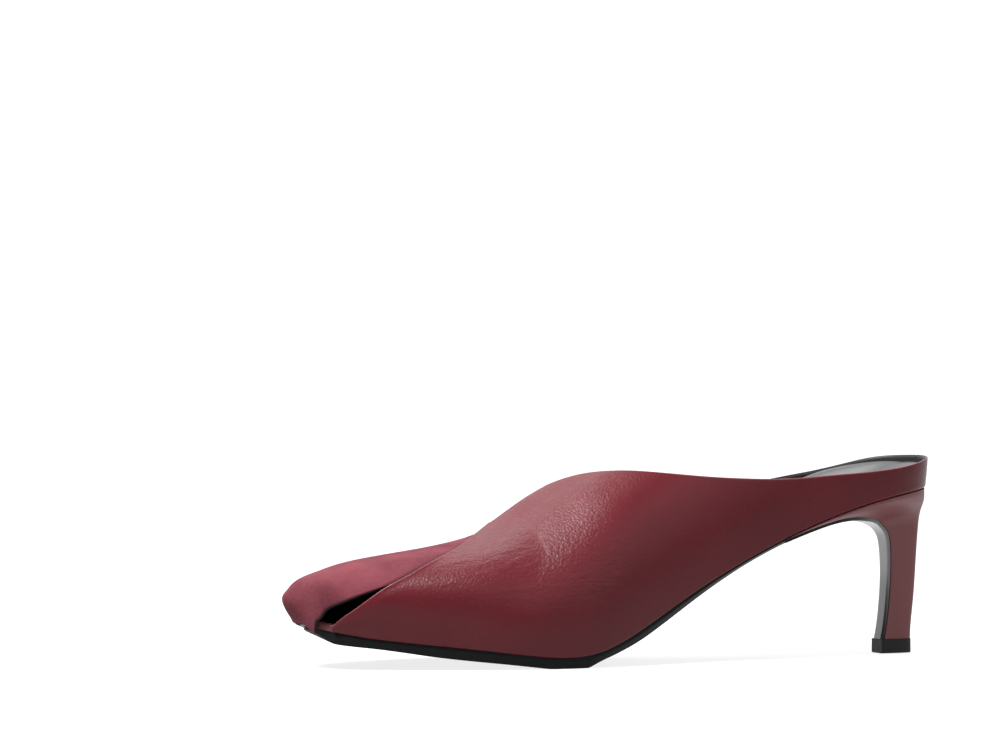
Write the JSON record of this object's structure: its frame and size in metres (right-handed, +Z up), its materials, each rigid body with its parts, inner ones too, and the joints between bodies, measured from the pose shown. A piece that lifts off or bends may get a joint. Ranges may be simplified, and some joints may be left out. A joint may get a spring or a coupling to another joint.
{
  "type": "heeled mule",
  "caption": "Left mule with a slim covered heel, its upper a smooth leather panel lapped over a suede one, with a small slanted opening at the toe.",
  "frame": {"origin": "on the floor, under the middle of the shoe's bounding box", "axes": "+Z up, +Y from the toe to the heel, +X to the outer side of the left foot"},
  "size_m": [0.0775, 0.24, 0.0705],
  "materials": {
    "smooth_leather": "smooth burgundy leather with a soft sheen",
    "suede": "burgundy suede with a short nap",
    "lining": "black lining leather",
    "sole": "black sole with a polished edge",
    "heel_cover": "burgundy leather cover with a soft sheen",
    "heel_tip": "black hard rubber"
  },
  "bodies": {
    "root": {"leather_panel": "smooth_leather", "suede_panel": "suede", "insole": "lining", "outsole": "sole", "heel": "heel_cover", "top_piece": "heel_tip"}
  },
  "joints": []
}
